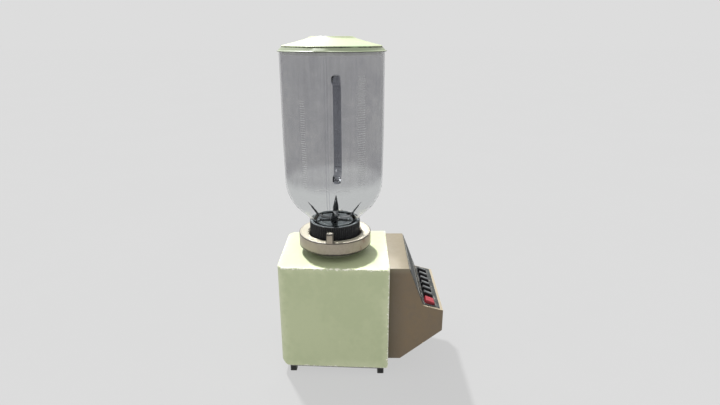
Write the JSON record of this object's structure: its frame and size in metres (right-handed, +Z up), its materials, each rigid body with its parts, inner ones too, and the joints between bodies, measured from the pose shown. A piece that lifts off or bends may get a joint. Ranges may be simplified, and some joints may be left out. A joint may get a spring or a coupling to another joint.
{
  "type": "countertop blender",
  "caption": "Countertop blender: square motor base with an angled key console, locking collar, tall glass jar with handle and crossed blades, and a lid with a filler cap.",
  "frame": {"origin": "on the motor's axis, in the plane of the feet's soles", "axes": "+Z up; the key console faces -Y; +X is the user's right, the jar's handle side; the spout points to -X"},
  "size_m": [0.16, 0.203, 0.4],
  "materials": {
    "casing": "satin",
    "console": "satin",
    "panel_metal": "satin",
    "black_plastic": "satin",
    "dark_plastic": "satin",
    "collar_metal": "satin",
    "nut_plastic": "satin",
    "jar_glass": "gloss",
    "handle_glass": "gloss",
    "lid_plastic": "satin",
    "key_black": "satin",
    "key_red": "gloss",
    "rubber": "matte",
    "steel": "satin",
    "dark_steel": "satin",
    "blade_steel": "satin",
    "laminations": "satin",
    "copper": "satin",
    "brass": "satin",
    "bronze": "satin",
    "cast_metal": "satin",
    "carbon": "matte"
  },
  "bodies": {
    "base": {"housing": "casing", "bottom_plate": "dark_steel", "foot_front_left": "rubber", "foot_front_right": "rubber", "foot_rear_left": "rubber", "foot_rear_right": "rubber", "foot_screws": "steel", "console": "console", "console_screws": "steel", "label_plate": "panel_metal", "key_plate": "panel_metal", "key_bezel": "black_plastic", "switch_housing": "black_plastic", "key_springs": "steel", "switch_contacts": "brass", "collar_seat": "dark_plastic", "collar_ring": "collar_metal", "collar_screws": "steel", "shaft_seal": "rubber", "stator_core": "laminations", "field_coils": "copper", "motor_bracket_bottom": "cast_metal", "motor_bracket_top": "cast_metal", "bearing_bottom": "bronze", "bearing_top": "bronze", "motor_mounts": "dark_steel", "motor_screws": "steel", "brush_holders": "brass", "carbon_brushes": "carbon", "brush_springs": "steel", "cord_gland": "rubber"},
    "rotor": {"motor_shaft": "steel", "armature_core": "laminations", "armature_windings": "copper", "commutator": "copper", "cooling_fan": "black_plastic", "drive_coupling": "cast_metal"},
    "jar": {"jar": "jar_glass", "jar_handle": "handle_glass", "jar_nut": "nut_plastic", "jar_gasket": "rubber", "blade_holder": "dark_plastic", "spindle_bush": "bronze", "spindle_seal": "rubber"},
    "blades": {"blade_spindle": "steel", "blade_lower": "blade_steel", "blade_upper": "blade_steel", "blade_nut": "blade_steel", "driven_coupling": "dark_plastic"},
    "lid": {"lid": "lid_plastic"},
    "filler_cap": {"filler_cap": "lid_plastic"},
    "key_1": {"key_1": "key_black"},
    "key_2": {"key_2": "key_black"},
    "key_3": {"key_3": "key_black"},
    "key_4": {"key_4": "key_black"},
    "key_5": {"key_5": "key_black"},
    "key_6": {"key_6": "key_black"},
    "key_off": {"key_off": "key_red"},
    "latch_bar": {"latch_bar": "steel"}
  },
  "joints": [
    {"name": "motor_spin", "type": "hinge", "parent": "base", "child": "rotor", "pos_m": [0, 0, 0.1], "axis": [0, 0, 1], "continuous": true},
    {"name": "jar_lift", "type": "slide", "parent": "base", "child": "jar", "axis": [0, 0, 1], "range_m": [0, 0.08]},
    {"name": "blade_spin", "type": "hinge", "parent": "jar", "child": "blades", "pos_m": [0, 0, 0.186], "axis": [0, 0, 1], "continuous": true},
    {"name": "lid_lift", "type": "slide", "parent": "jar", "child": "lid", "axis": [0, 0, 1], "range_m": [0, 0.06]},
    {"name": "cap_lift", "type": "slide", "parent": "lid", "child": "filler_cap", "axis": [0, 0, 1], "range_m": [0, 0.03]},
    {"name": "key_1_press", "type": "slide", "parent": "base", "child": "key_1", "axis": [0, 0.2554, -0.9668], "range_m": [0, 0.003], "stiffness_N_per_m": 400, "springref_m": -0.002},
    {"name": "key_2_press", "type": "slide", "parent": "base", "child": "key_2", "axis": [0, 0.2554, -0.9668], "range_m": [0, 0.003], "stiffness_N_per_m": 400, "springref_m": -0.002},
    {"name": "key_3_press", "type": "slide", "parent": "base", "child": "key_3", "axis": [0, 0.2554, -0.9668], "range_m": [0, 0.003], "stiffness_N_per_m": 400, "springref_m": -0.002},
    {"name": "key_4_press", "type": "slide", "parent": "base", "child": "key_4", "axis": [0, 0.2554, -0.9668], "range_m": [0, 0.003], "stiffness_N_per_m": 400, "springref_m": -0.002},
    {"name": "key_5_press", "type": "slide", "parent": "base", "child": "key_5", "axis": [0, 0.2554, -0.9668], "range_m": [0, 0.003], "stiffness_N_per_m": 400, "springref_m": -0.002},
    {"name": "key_6_press", "type": "slide", "parent": "base", "child": "key_6", "axis": [0, 0.2554, -0.9668], "range_m": [0, 0.003], "stiffness_N_per_m": 400, "springref_m": -0.002},
    {"name": "key_off_press", "type": "slide", "parent": "base", "child": "key_off", "axis": [0, 0.2554, -0.9668], "range_m": [0, 0.003], "stiffness_N_per_m": 400, "springref_m": -0.002},
    {"name": "latch_slide", "type": "slide", "parent": "base", "child": "latch_bar", "axis": [1, 0, 0], "range_m": [0, 0.002]}
  ],
  "couplings": [
    {"joint": "blade_spin", "follows": "motor_spin", "ratio": 1},
    {"joint": "latch_slide", "follows": "key_off_press", "ratio": 0.6}
  ]
}
